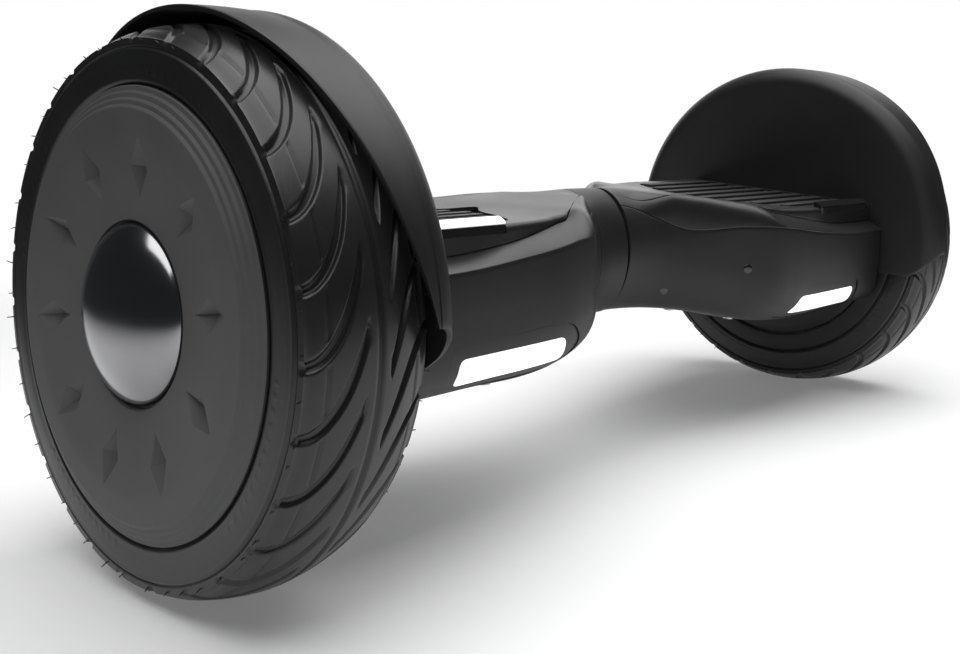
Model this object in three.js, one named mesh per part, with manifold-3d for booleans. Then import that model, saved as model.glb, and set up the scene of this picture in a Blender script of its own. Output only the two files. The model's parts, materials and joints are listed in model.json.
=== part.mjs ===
// Self-balancing hoverboard with two 10-inch pneumatic hub-motor wheels.
// Millimetres. The floor is z = 0, +X runs along the axle towards the right wheel, -Y is the front.
// Each half is designed on the +X side, with s = distance from the middle plane.
// The left half is its mirror image. At rest the right half is twisted nose-down about the axle.
import * as THREE from 'three';
import { mergeVertices } from 'three/addons/utils/BufferGeometryUtils.js';
import Module from 'manifold-3d';

const wasm = await Module();
wasm.setup();

// ---------- driving dimensions ----------
const TYRE_RADIUS = 127;
const TYRE_HALF_WIDTH = 31.5;
const TYRE_SIDES = 40;
const HALF_TRACK = 290;
const AXLE_Z = TYRE_RADIUS;
const REST_TWIST = THREE.MathUtils.degToRad(5.5);
const GAP = 0.35;
const SHELL_WALL = 3;
const BODY_END = 253.1;
const LEFT_SHELL_START = 24.5;
const RIGHT_SHELL_START = 9.5;
const COLLAR_END = 8;
const FENDER_RADIUS = 135;
const FENDER_WALL = 3;
const FENDER_FACE = 253.5;
const FENDER_EDGE_RADIUS = 13;
const SHAFT_RADIUS = 13;
const AXLE_RADIUS = 8;
const DECK_Z = 162;
const PAD = { s0: 104, s1: 248, halfDepth: 66, noseHalfDepth: 8, taperEnd: 150, thickness: 7 };
const STRIP = { s0: 168, s1: 246, y0: -81, y1: -73, z0: 153, z1: 165 };
const PANEL = { s0: 132, s1: 204, z0: 106, z1: 138, y0: 85.5, y1: 91 };
const BUTTON = { s: 150, radius: 7 };
const SOCKET = { s: 184, radius: 8.5 };
const SERVICE_Z = 121;

// ---------- colours ----------
const finish = (color, roughness, metalness = 0) =>
  new THREE.MeshStandardMaterial({ color, roughness, metalness });
const satinBlack = finish(0x232325, 0.45);
const glossBlack = finish(0x101012, 0.15);
const trimGrey = finish(0x3a3b3d, 0.3);
const rubber = finish(0x161616, 0.8);
const coverGrey = finish(0x303133, 0.5);
const darkChrome = finish(0x55565a, 0.2, 1);
const lampWhite = finish(0xf4f6f8, 0.3);
const lampRed = finish(0xa01010, 0.3);
const aluminium = finish(0xa5a8ac, 0.5, 1);
const steel = finish(0x8d8f93, 0.35, 1);
const copper = finish(0xb06a3a, 0.4, 1);
const boardGreen = finish(0x1d4a2c, 0.6);
const batteryBlue = finish(0x24406e, 0.6);

// ---------- solids, cuts and joins ----------
function solid(geometry) {
  const plain = geometry.clone();
  plain.deleteAttribute('normal');
  plain.deleteAttribute('uv');
  const merged = mergeVertices(plain, 1e-4);
  const mesh = new wasm.Mesh({
    numProp: 3,
    vertProperties: new Float32Array(merged.attributes.position.array),
    triVerts: new Uint32Array(merged.index.array),
  });
  const body = new wasm.Manifold(mesh);
  if (body.volume() > 0) return body;
  const index = mesh.triVerts.slice();
  for (let i = 0; i < index.length; i += 3) [index[i], index[i + 1]] = [index[i + 1], index[i]];
  const flipped = new wasm.Mesh({ numProp: 3, vertProperties: mesh.vertProperties, triVerts: index });
  return new wasm.Manifold(flipped);
}

function geometryOf(body) {
  const { vertProperties, triVerts } = body.getMesh();
  const geometry = new THREE.BufferGeometry();
  geometry.setAttribute('position', new THREE.BufferAttribute(new Float32Array(vertProperties), 3));
  geometry.setIndex(new THREE.BufferAttribute(new Uint32Array(triVerts), 1));
  return geometry;
}

const cut = (body, ...tools) => tools.reduce((left, tool) => left.subtract(tool), body);
const join = (body, ...others) => others.reduce((sum, other) => sum.add(other), body);

function box(x0, x1, y0, y1, z0, z1) {
  const geometry = new THREE.BoxGeometry(x1 - x0, y1 - y0, z1 - z0);
  return solid(geometry.translate((x0 + x1) / 2, (y0 + y1) / 2, (z0 + z1) / 2));
}

function cylinderX(radius, x0, x1, sides = 18) {
  const geometry = new THREE.CylinderGeometry(radius, radius, x1 - x0, sides);
  return solid(geometry.rotateZ(-Math.PI / 2).translate((x0 + x1) / 2, 0, AXLE_Z));
}

function cylinderY(radius, y0, y1, x, z, sides = 16) {
  const geometry = new THREE.CylinderGeometry(radius, radius, y1 - y0, sides);
  return solid(geometry.translate(x, (y0 + y1) / 2, z));
}

// A closed outline of [x, z] points, run along Y.
function prismY(points, y0, y1) {
  const shape = new THREE.Shape(points.map(([x, z]) => new THREE.Vector2(x, z)));
  const geometry = new THREE.ExtrudeGeometry(shape, { depth: y1 - y0, bevelEnabled: false });
  return solid(geometry.rotateX(Math.PI / 2).translate(0, y1, 0));
}

// A closed outline of [x, y] points, run along Z.
function prismZ(points, z0, z1) {
  const shape = new THREE.Shape(points.map(([x, y]) => new THREE.Vector2(x, y)));
  const geometry = new THREE.ExtrudeGeometry(shape, { depth: z1 - z0, bevelEnabled: false });
  return solid(geometry.translate(0, 0, z0));
}

// A closed outline of [radius, x] points, turned about the wheel axis.
function turned(outline, sides) {
  const points = [...outline, outline[0]].map(([radius, x]) => new THREE.Vector2(radius, x));
  const geometry = new THREE.LatheGeometry(points, sides);
  return solid(geometry.rotateZ(-Math.PI / 2).translate(0, 0, AXLE_Z));
}

// ---------- the body's cross-sections ----------
// A smooth curve through [s, value] points, level at both ends.
function through(points) {
  return (s) => {
    const last = points.length - 1;
    if (s <= points[0][0]) return points[0][1];
    if (s >= points[last][0]) return points[last][1];
    const i = points.findIndex(([at]) => at > s) - 1;
    const slope = (k) => {
      if (k <= 0 || k >= last) return 0;
      return (points[k + 1][1] - points[k - 1][1]) / (points[k + 1][0] - points[k - 1][0]);
    };
    const [s0, v0] = points[i];
    const [s1, v1] = points[i + 1];
    const step = s1 - s0;
    const t = (s - s0) / step;
    const bend = slope(i) * step * (t ** 3 - 2 * t ** 2 + t) + slope(i + 1) * step * (t ** 3 - t ** 2);
    return v0 + (v1 - v0) * (3 * t ** 2 - 2 * t ** 3) + bend;
  };
}

const bodyHalfDepth = through([[0, 28], [20, 30], [40, 37], [60, 51], [80, 67], [100, 84], [120, 89.5],
  [140, 91], [200, 92], [255, 92]]);
const bodyTop = through([[0, 171], [24, 171], [47, 169.4], [66, 167.8], [90, 165.6], [110, 163],
  [130, 161.6], [255, 161.2]]);
const bodyBottom = through([[0, 89], [24, 89], [60, 87.5], [90, 83.5], [125, 77.2], [150, 76.8], [190, 80],
  [255, 81]]);
const bodySquareness = through([[0, 2], [24, 2.1], [60, 2.6], [110, 3.2], [135, 3.5], [200, 4.8],
  [255, 5.2]]);

// The upper edge of the front panel and the upper edge of the trim band, along s.
const SEAM_LINE = [[0, 163], [10, 162], [20, 160], [30, 155.8], [40, 151.3], [50, 147.4], [60, 147],
  [80, 150.2], [100, 151.5], [120, 150.4], [150, 146.6], [195, 143], [260, 142]];
const DECK_LINE = [[29, 176], [31, 166], [60, 164], [86, 162], [112, 159], [130, 156.8], [150, 154],
  [165, 152], [200, 148.3], [260, 147.5]];

const SECTION_POINTS = 24;

function bodySection(s, inset) {
  const halfDepth = bodyHalfDepth(s) - inset;
  const halfHeight = (bodyTop(s) - bodyBottom(s)) / 2 - inset;
  const middle = (bodyTop(s) + bodyBottom(s)) / 2;
  const power = 2 / bodySquareness(s);
  const ring = [];
  for (let i = 0; i < SECTION_POINTS; i += 1) {
    const angle = ((i + 0.5) / SECTION_POINTS) * 2 * Math.PI;
    const across = Math.sign(Math.cos(angle)) * Math.abs(Math.cos(angle)) ** power;
    const up = Math.sign(Math.sin(angle)) * Math.abs(Math.sin(angle)) ** power;
    ring.push(new THREE.Vector3(s, halfDepth * across, middle + halfHeight * up));
  }
  return ring;
}

function loft(stations, inset) {
  const rings = stations.map((s) => bodySection(s, inset));
  const positions = rings.flat().flatMap((point) => [point.x, point.y, point.z]);
  const index = [];
  for (let ring = 0; ring < rings.length - 1; ring += 1) {
    for (let i = 0; i < SECTION_POINTS; i += 1) {
      const a = ring * SECTION_POINTS + i;
      const b = ring * SECTION_POINTS + ((i + 1) % SECTION_POINTS);
      index.push(a, b, b + SECTION_POINTS, a, b + SECTION_POINTS, a + SECTION_POINTS);
    }
  }
  const end = (rings.length - 1) * SECTION_POINTS;
  for (let i = 1; i < SECTION_POINTS - 1; i += 1) {
    index.push(0, i + 1, i, end, end + i, end + i + 1);
  }
  const geometry = new THREE.BufferGeometry();
  geometry.setAttribute('position', new THREE.Float32BufferAttribute(positions, 3));
  geometry.setIndex(index);
  return solid(geometry);
}

// Everything above a line of [s, z] points.
const above = (line, rise) => prismY([
  ...line.map(([s, z]) => [s, z + rise]),
  [line[line.length - 1][0], 260],
  [line[0][0], 260],
], -120, 120);

// ---------- casings of one half ----------
const headlightOutline = [[211.5, 89.4], [210.6, 102.5], [132.7, 102.5], [127.6, 89.5]];
const bezelOutline = [[218, 84.5], [217, 108.5], [129, 110.5], [117, 98], [121, 84.5]];
const tailOutline = [[206, 93], [200, 101], [132, 101], [138, 93]];

// The outline with each edge moved outwards by the same distance.
function grown(outline, by) {
  const points = outline.map(([x, z]) => new THREE.Vector2(x, z));
  const turn = THREE.ShapeUtils.area(points) > 0 ? 1 : -1;
  const count = points.length;
  return points.map((point, i) => {
    const before = point.clone().sub(points[(i + count - 1) % count]).normalize();
    const after = points[(i + 1) % count].clone().sub(point).normalize();
    const corner = before.clone().sub(after).multiplyScalar((by * turn) / before.cross(after));
    return [point.x + corner.x, point.y + corner.y];
  });
}

// The pad narrows towards the middle of the board.
function padOutline(by) {
  const { s0, s1, halfDepth, noseHalfDepth, taperEnd } = PAD;
  const side = [[s1 + by, halfDepth + by], [taperEnd, halfDepth + by], [s0 - by, noseHalfDepth + by]];
  return [...side, ...side.map(([x, y]) => [x, -y]).reverse()];
}

function casings(start, hasServicePanel) {
  const stations = [start, 36, 52, 70, 92, 120, 170];
  const outer = loft([...stations, BODY_END], 0);
  const shell = cut(outer, loft([start - 20, ...stations, BODY_END - SHELL_WALL], SHELL_WALL));
  const skin = cut(outer, loft([start - 20, ...stations, BODY_END - 1], 5));
  const overSeam = above(SEAM_LINE, GAP);
  const overDeck = above(DECK_LINE, GAP);
  const front = (outline) => prismY(outline, -110, -40);
  const back = (outline) => prismY(outline, 40, 110);

  const axleSlot = join(cylinderX(AXLE_RADIUS + 1, 245, 260), box(245, 260, -9, 9, AXLE_Z, 150));
  const panelSlot = box(PANEL.s0 - GAP, PANEL.s1 + GAP, 60, 110, PANEL.z0 - GAP, PANEL.z1 + GAP);
  const lampSlots = [front(grown(bezelOutline, GAP)), back(grown(tailOutline, GAP))];
  const lowerCuts = [above(SEAM_LINE, 0), axleSlot, ...lampSlots];
  if (hasServicePanel) lowerCuts.push(panelSlot);
  const lowerShell = cut(shell, ...lowerCuts);

  const padSlot = prismZ(padOutline(0.6), 120, 200);
  const stripSlot = box(STRIP.s0 - GAP, STRIP.s1 + GAP, STRIP.y0 - GAP, STRIP.y1 + GAP, 140, 200);
  const trimBand = cut(shell.intersect(overSeam), above(DECK_LINE, 0), axleSlot, stripSlot);
  const deckCover = cut(shell.intersect(overDeck), padSlot, stripSlot);

  const bezel = cut(skin.intersect(front(bezelOutline)), front(grown(headlightOutline, GAP)));
  const headlight = skin.intersect(front(headlightOutline));
  const tailLight = skin.intersect(back(tailOutline));
  return { lowerShell, trimBand, deckCover, bezel, headlight, tailLight };
}

function fender() {
  const outline = [];
  const arc = (radius, start, end, steps, centre) => {
    for (let i = 0; i <= steps; i += 1) {
      const angle = THREE.MathUtils.degToRad(start + ((end - start) * i) / steps);
      outline.push([centre[0] + radius * Math.cos(angle), centre[1] + radius * Math.sin(angle)]);
    }
  };
  const centre = [FENDER_RADIUS - FENDER_EDGE_RADIUS, FENDER_FACE + FENDER_EDGE_RADIUS];
  const face = 2.2;
  outline.push([30, FENDER_FACE]);
  arc(FENDER_EDGE_RADIUS, 270, 360, 3, centre);
  outline.push([FENDER_RADIUS, 312]);
  outline.push([FENDER_RADIUS - FENDER_WALL, 312]);
  arc(FENDER_EDGE_RADIUS - FENDER_WALL, 360, 270, 3, centre);
  outline.push([30, FENDER_FACE + face]);
  const beyondLip = prismY([[263.8, 115], [303.5, 262], [303.5, 300], [340, 300], [340, 115]], -150, 150);
  const underEdge = [[240, -20], [240, 113], [254, 113], [268, 129], [340, 129], [340, -20]];
  return cut(turned(outline, 36), beyondLip, prismY(underEdge, -150, 150));
}

// ---------- chassis and what it carries ----------
const TRAY = { s0: 96, s1: 246, halfDepth: 54, z0: 91, floor: 96, z1: 138, wall: 3.5 };

function chassis(boreRadius) {
  const tray = cut(box(TRAY.s0, TRAY.s1, -TRAY.halfDepth, TRAY.halfDepth, TRAY.z0, TRAY.z1),
    box(TRAY.s0 + TRAY.wall, TRAY.s1 - TRAY.wall, -TRAY.halfDepth + TRAY.wall, TRAY.halfDepth - TRAY.wall,
      TRAY.floor, TRAY.z1 + 1));
  const saddle = box(206, 244, -17, 17, TRAY.floor - 1, AXLE_Z);
  const boss = cylinderX(21, 12, TRAY.s0 + 8);
  const bore = cylinderX(boreRadius, 5, TRAY.s0 + 20);
  const axleGroove = cylinderX(AXLE_RADIUS + 0.3, 195, 260);
  return cut(join(tray, saddle, boss), bore, axleGroove);
}

function axleClamp() {
  return cut(box(210, 240, -17, 17, AXLE_Z + 0.4, AXLE_Z + 14), cylinderX(AXLE_RADIUS + 0.3, 195, 260));
}

function motorCable() {
  const route = new THREE.CatmullRomCurve3([
    new THREE.Vector3(202.5, 0, AXLE_Z),
    new THREE.Vector3(196, 3, AXLE_Z),
    new THREE.Vector3(191, 18, 122),
    new THREE.Vector3(190, 34, 114),
    new THREE.Vector3(190, 44, 108),
  ]);
  const section = new THREE.Shape();
  section.absarc(0, 0, 3, 0, 2 * Math.PI);
  return solid(new THREE.ExtrudeGeometry(section, { steps: 7, extrudePath: route, curveSegments: 3 }));
}

// ---------- wheel, with x measured outward from the tyre's middle ----------
function tyre() {
  const half = TYRE_HALF_WIDTH;
  const crown = [[TYRE_RADIUS, 8], [124.5, 17], [119.5, 27], [110, half], [99.3, half - 1], [99, half - 4]];
  const inside = [[92.5, half - 4.2], [92.5, half - 9.5], [106, half - 6.5], [118, 17]];
  const facet = 1 / Math.cos(Math.PI / TYRE_SIDES);
  const profile = [...crown, ...inside].map(([radius, x]) => [radius * facet, x]);
  const mirrored = profile.map(([radius, x]) => [radius, -x]).reverse();
  return turned([...profile, ...mirrored], TYRE_SIDES);
}

const ring = (outer, inner, from, to) => [[outer, to], [outer, from], [inner, from], [inner, to]];

const turnedX = (outline, sides) => geometryOf(turned(outline, sides).translate([0, 0, -AXLE_Z]));

const hubCover = [[41, 30.6], [70, 33.2], [89.5, 36.5], [90.5, 35], [98.5, 33.6], [98.5, 31.6], [85, 31.6],
  [84, 29.2], [41, 28]];

const rim = [[98.6, 31.2], [98.6, 27.9], [92, 27.7], [92, -27.7], [98.6, -27.9], [98.6, -31.2], [86, -31.2],
  [86, 31.2]];

const motorCover = [[84.8, -30], [84.8, -26], [24, -26], [18, -31], [18, -34], [80, -31]];

function hubCap() {
  const outline = [[36, 28.4], [40, 30]];
  for (const angle of [20, 42, 66].map(THREE.MathUtils.degToRad)) {
    outline.push([40 * Math.cos(angle), 30 + 15 * Math.sin(angle)]);
  }
  outline.push([0, 45], [0, 42.5], [26, 37], [34, 28.4]);
  return outline;
}

function stator() {
  const teeth = 9;
  const tooth = [[44, -0.16], [62, -0.12], [73, -0.25], [73, 0.25], [62, 0.12], [44, 0.16]];
  const points = [];
  for (let i = 0; i < teeth; i += 1) {
    const turn = (i / teeth) * 2 * Math.PI;
    for (const [radius, offset] of tooth) {
      points.push(new THREE.Vector2(radius * Math.cos(turn + offset), radius * Math.sin(turn + offset)));
    }
  }
  const shape = new THREE.Shape(points);
  const bore = new THREE.Path();
  bore.absarc(0, 0, AXLE_RADIUS + 0.6, 0, 2 * Math.PI);
  shape.holes.push(bore);
  const geometry = new THREE.ExtrudeGeometry(shape, { depth: 26, bevelEnabled: false, curveSegments: 6 });
  return geometry.rotateY(Math.PI / 2).translate(-13, 0, 0);
}

// ---------- assembly ----------
const board = new THREE.Group();

function add(group, name, shape, material, place = [0, 0, 0]) {
  const mesh = new THREE.Mesh(shape.isBufferGeometry ? shape : geometryOf(shape), material);
  mesh.name = name;
  mesh.position.set(...place);
  group.add(mesh);
}

function addWheel(side) {
  const wheel = new THREE.Group();
  const hand = side === 'left' ? -1 : 1;
  wheel.position.set(hand * HALF_TRACK, 0, AXLE_Z);
  wheel.scale.x = hand;
  const tyreShape = geometryOf(tyre().translate([0, 0, -AXLE_Z]));
  add(wheel, `${side}_tyre`, tyreShape.rotateX(Math.PI / TYRE_SIDES), rubber);
  add(wheel, `${side}_rim`, turnedX(rim, 28), aluminium);
  add(wheel, `${side}_magnet_ring`, turnedX(ring(84.8, 76, -15, 15), 20), steel);
  add(wheel, `${side}_hub_cover`, turnedX(hubCover, 28), coverGrey);
  add(wheel, `${side}_hub_cap`, turnedX(hubCap(), 20), darkChrome);
  add(wheel, `${side}_motor_cover`, turnedX(motorCover, 20), aluminium);
  add(wheel, `${side}_outer_bearing`, turnedX(ring(17.5, AXLE_RADIUS + 0.4, 16, 26), 14), steel);
  add(wheel, `${side}_inner_bearing`, turnedX(ring(17.5, AXLE_RADIUS + 0.4, -34, -24), 14), steel);
  board.add(wheel);
}

function addHalf(side) {
  const isLeft = side === 'left';
  const outerGroup = new THREE.Group();
  const half = new THREE.Group();
  outerGroup.position.z = AXLE_Z;
  outerGroup.rotation.x = isLeft ? 0 : REST_TWIST;
  half.position.z = -AXLE_Z;
  half.scale.x = isLeft ? -1 : 1;
  outerGroup.add(half);
  board.add(outerGroup);

  const case_ = casings(isLeft ? LEFT_SHELL_START : RIGHT_SHELL_START, !isLeft);
  add(half, `${side}_lower_shell`, case_.lowerShell, satinBlack);
  add(half, `${side}_trim_band`, case_.trimBand, trimGrey);
  add(half, `${side}_deck_cover`, case_.deckCover, satinBlack);
  add(half, `${side}_headlight_bezel`, case_.bezel, glossBlack);
  add(half, `${side}_headlight_lens`, case_.headlight, lampWhite);
  add(half, `${side}_tail_light_lens`, case_.tailLight, lampRed);
  add(half, `${side}_fender`, fender(), satinBlack);
  add(half, `${side}_pad_light_strip`,
    box(STRIP.s0, STRIP.s1, STRIP.y0, STRIP.y1, STRIP.z0, STRIP.z1), lampWhite);
  add(half, `${side}_foot_pad`,
    prismZ(padOutline(0), DECK_Z - PAD.thickness, DECK_Z), rubber);
  add(half, `${side}_chassis`, chassis(isLeft ? SHAFT_RADIUS + 0.3 : SHAFT_RADIUS + 3.8), aluminium);
  add(half, `${side}_axle`, cylinderX(AXLE_RADIUS, 204, HALF_TRACK + 27), steel);
  add(half, `${side}_stator`, stator(), copper, [HALF_TRACK, 0, AXLE_Z]);
  add(half, `${side}_axle_clamp`, axleClamp(), aluminium);
  add(half, `${side}_motor_cable`, motorCable(), rubber);
  add(half, `${side}_gyro_board`, box(104, 134, -22, 22, 146, 147.6), boardGreen);
  return half;
}

function addWaist(leftHalf, rightHalf) {
  const sleeve = (inset, from, to) => {
    const ring = bodySection(12, inset);
    const shape = new THREE.Shape(ring.map((point) => new THREE.Vector2(point.y, point.z)));
    const geometry = new THREE.ExtrudeGeometry(shape, { depth: to - from, bevelEnabled: false });
    return solid(geometry.rotateX(Math.PI / 2).rotateZ(Math.PI / 2).translate(from, 0, 0));
  };
  const from = -LEFT_SHELL_START + GAP;
  const web = cut(sleeve(2, -11, -7), cylinderX(21.4, -20, 0));
  const collar = cut(sleeve(0, from, COLLAR_END), sleeve(4, from - 5, COLLAR_END + 5));
  add(board, 'waist_collar', join(collar, web), satinBlack);
  const shaft = cut(cylinderX(SHAFT_RADIUS, -84, 92), cylinderX(9, -90, 100));
  add(board, 'pivot_shaft', shaft, steel);
  const shaftSleeve = (start, end) => cut(cylinderX(SHAFT_RADIUS + 3.4, start, end),
    cylinderX(SHAFT_RADIUS + 0.3, start - 5, end + 5));
  add(rightHalf, 'pivot_bush_inner', shaftSleeve(13, 33), copper);
  add(rightHalf, 'pivot_bush_outer', shaftSleeve(64, 84), copper);
  add(board, 'pivot_retaining_ring', shaftSleeve(85, 87), steel);
  add(leftHalf, 'battery_pack', box(104, 182, -49, 49, 96.4, 135), batteryBlue);
  add(leftHalf, 'battery_strap', box(136, 150, -49, 49, 135.4, 137.4), aluminium);
}

function addServicePanel(half) {
  const { s0, s1, z0, z1, y0, y1 } = PANEL;
  const socketHole = cylinderY(SOCKET.radius + GAP, y0 - 5, y1 + 5, SOCKET.s, SERVICE_Z);
  const buttonHole = cylinderY(BUTTON.radius + 0.5, y0 - 5, y1 + 5, BUTTON.s, SERVICE_Z);
  add(half, 'service_panel', cut(box(s0, s1, y0, y1, z0, z1), socketHole, buttonHole), glossBlack);
  add(half, 'power_button', cylinderY(BUTTON.radius, y0 - 2, y1 + 1.5, BUTTON.s, SERVICE_Z), steel);
  const socket = cut(cylinderY(SOCKET.radius, y0 - 14, y1 + 0.8, SOCKET.s, SERVICE_Z),
    cylinderY(SOCKET.radius - 2, y0 - 10, y1 + 5, SOCKET.s, SERVICE_Z));
  add(half, 'charge_socket', socket, steel);
  const flap = cylinderY(11, y1 + 1.2, y1 + 3.6, SOCKET.s, SERVICE_Z);
  const tab = box(SOCKET.s - 5, SOCKET.s + 5, y1 + 1.2, y1 + 3.6, SERVICE_Z + 5, SERVICE_Z + 14);
  add(half, 'charge_cover', join(flap, tab), rubber);
  add(half, 'main_board', box(104, 190, -44, 44, 102, 103.6), boardGreen);
}

const leftHalf = addHalf('left');
const rightHalf = addHalf('right');
addWaist(leftHalf, rightHalf);
addServicePanel(rightHalf);
addWheel('left');
addWheel('right');

export default board;
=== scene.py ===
"""Self-balancing hoverboard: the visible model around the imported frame."""
import json
import math
import random

import bmesh
import bpy
import numpy as np
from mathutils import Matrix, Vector


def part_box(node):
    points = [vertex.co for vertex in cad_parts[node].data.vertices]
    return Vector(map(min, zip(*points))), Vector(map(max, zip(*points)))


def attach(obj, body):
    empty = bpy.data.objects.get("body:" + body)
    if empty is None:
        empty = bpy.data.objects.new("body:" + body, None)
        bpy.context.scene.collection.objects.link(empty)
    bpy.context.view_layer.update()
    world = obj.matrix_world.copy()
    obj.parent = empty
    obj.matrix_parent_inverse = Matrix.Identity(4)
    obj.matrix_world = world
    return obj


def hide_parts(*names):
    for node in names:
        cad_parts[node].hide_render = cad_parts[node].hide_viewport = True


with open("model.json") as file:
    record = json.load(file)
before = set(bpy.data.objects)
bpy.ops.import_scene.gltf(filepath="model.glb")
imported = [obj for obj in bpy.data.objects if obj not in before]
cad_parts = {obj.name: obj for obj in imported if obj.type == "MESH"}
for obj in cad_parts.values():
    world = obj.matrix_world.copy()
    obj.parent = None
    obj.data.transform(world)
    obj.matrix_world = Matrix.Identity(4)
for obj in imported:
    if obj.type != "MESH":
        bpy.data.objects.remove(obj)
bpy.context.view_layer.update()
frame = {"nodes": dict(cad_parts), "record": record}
random.seed(7)

# ---------- sizes, in millimetres, read from the frame ----------
MM = 0.001


def cad(node):
    """The lowest and highest corner of a CAD node, in millimetres."""
    low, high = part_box(node)
    return np.array(low) / MM, np.array(high) / MM


tyre_low, tyre_high = cad("left_tyre")
TYRE_R = (tyre_high[2] - tyre_low[2]) / 2
AXLE_Z = (tyre_high[2] + tyre_low[2]) / 2
TRACK = -(tyre_low[0] + tyre_high[0]) / 2
TYRE_HALF = (tyre_high[0] - tyre_low[0]) / 2
FENDER_R = cad("left_fender")[1][2] - AXLE_Z
FENDER_FACE = -cad("left_fender")[1][0]
BODY_END = -cad("left_lower_shell")[0][0]
COLLAR_END = cad("waist_collar")[1][0]
RIGHT_MOUTH = cad("right_lower_shell")[0][0]
LEFT_MOUTH = -cad("left_lower_shell")[1][0]
PAD_TOP = cad("left_foot_pad")[1][2]
PAD_S1 = -cad("left_foot_pad")[0][0]
PAD_HALF = cad("left_foot_pad")[1][1]
strip_low, strip_high = cad("left_pad_light_strip")
mounts = {mount["name"]: mount for mount in frame["record"]["mounts"]}
pad_axis = mounts["right_foot_pad_top"]["axis"]
TWIST = math.atan2(-pad_axis[1], pad_axis[2])

HANDS = {"left": -1, "right": 1}


# ---------- camera, lights and floor ----------
def add_camera():
    data = bpy.data.cameras.new("camera")
    data.lens = 40.3
    data.sensor_width = 36
    data.shift_x = -0.0188
    data.shift_y = -0.1571
    data.clip_start = 0.01
    camera = bpy.data.objects.new("camera", data)
    camera.location = (-0.5572, -0.4264, 0.2016)
    camera.rotation_euler = (math.radians(90) - 0.0328, 0, 0.7349 - math.radians(90))
    bpy.context.scene.collection.objects.link(camera)
    bpy.context.scene.camera = camera


def add_area(name, place, target, size, power, shadow=True):
    data = bpy.data.lights.new(name, "AREA")
    data.shape = "RECTANGLE"
    data.size, data.size_y = size
    data.energy = power
    data.use_shadow = shadow
    lamp = bpy.data.objects.new(name, data)
    lamp.location = place
    lamp.rotation_euler = (Vector(target) - Vector(place)).to_track_quat("-Z", "Y").to_euler()
    lamp.visible_camera = False
    bpy.context.scene.collection.objects.link(lamp)


def add_studio():
    add_area("top_softbox", (0, -0.2, 1.5), (0, -0.2001, 0), (3.0, 1.6), 40)
    add_area("backdrop_light", (1.5, 1.36, 0.75), (0, 0, 0.1), (3.0, 1.5), 19, shadow=False)
    world = bpy.data.worlds.new("studio")
    bpy.context.scene.world = world
    world.use_nodes = True
    room = world.node_tree.nodes["Background"]
    room.inputs["Color"].default_value = (0.9, 0.95, 1, 1)
    room.inputs["Strength"].default_value = 0.035


def add_backdrop():
    """A white shell around the studio, seen by the camera alone."""
    bpy.ops.mesh.primitive_uv_sphere_add(segments=32, ring_count=16, radius=9)
    shell = bpy.context.object
    shell.name = "backdrop"
    shell.visible_diffuse = False
    shell.visible_glossy = False
    shell.visible_transmission = False
    shell.visible_volume_scatter = False
    shell.visible_shadow = False
    material = bpy.data.materials.new("backdrop_white")
    material.use_nodes = True
    nodes, links = material.node_tree.nodes, material.node_tree.links
    nodes.remove(nodes["Principled BSDF"])
    glow = nodes.new("ShaderNodeEmission")
    glow.inputs["Color"].default_value = (1, 1, 1, 1)
    glow.inputs["Strength"].default_value = 1.0
    links.new(glow.outputs[0], nodes["Material Output"].inputs["Surface"])
    shell.data.materials.append(material)


def add_floor(material):
    bpy.ops.mesh.primitive_plane_add(size=4, location=(0, 0, 0))
    floor = bpy.context.object
    floor.name = "floor"
    floor.data.materials.append(material)


def floor_material():
    """A pale floor that fades into the backdrop away from the board."""
    material = bpy.data.materials.new("floor_white")
    material.use_nodes = True
    nodes, links = material.node_tree.nodes, material.node_tree.links
    nodes.remove(nodes["Principled BSDF"])
    place = nodes.new("ShaderNodeTexCoord")
    oval = nodes.new("ShaderNodeMapping")
    oval.inputs["Scale"].default_value = (0.95, 0.8, 0)
    links.new(place.outputs["Object"], oval.inputs["Vector"])
    distance = nodes.new("ShaderNodeVectorMath")
    distance.operation = "LENGTH"
    links.new(oval.outputs["Vector"], distance.inputs[0])
    fade = nodes.new("ShaderNodeMapRange")
    fade.interpolation_type = "SMOOTHSTEP"
    fade.inputs["From Min"].default_value = 0.45
    fade.inputs["From Max"].default_value = 0.95
    links.new(distance.outputs["Value"], fade.inputs["Value"])
    paper = nodes.new("ShaderNodeBsdfDiffuse")
    paper.inputs["Color"].default_value = (0.9, 0.9, 0.9, 1)
    glow = nodes.new("ShaderNodeEmission")
    glow.inputs["Strength"].default_value = 0.12
    lit = nodes.new("ShaderNodeAddShader")
    links.new(paper.outputs[0], lit.inputs[0])
    links.new(glow.outputs[0], lit.inputs[1])
    clear = nodes.new("ShaderNodeBsdfTransparent")
    mix = nodes.new("ShaderNodeMixShader")
    links.new(fade.outputs["Result"], mix.inputs["Fac"])
    links.new(lit.outputs[0], mix.inputs[1])
    links.new(clear.outputs[0], mix.inputs[2])
    links.new(mix.outputs[0], nodes["Material Output"].inputs["Surface"])
    return material


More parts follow.
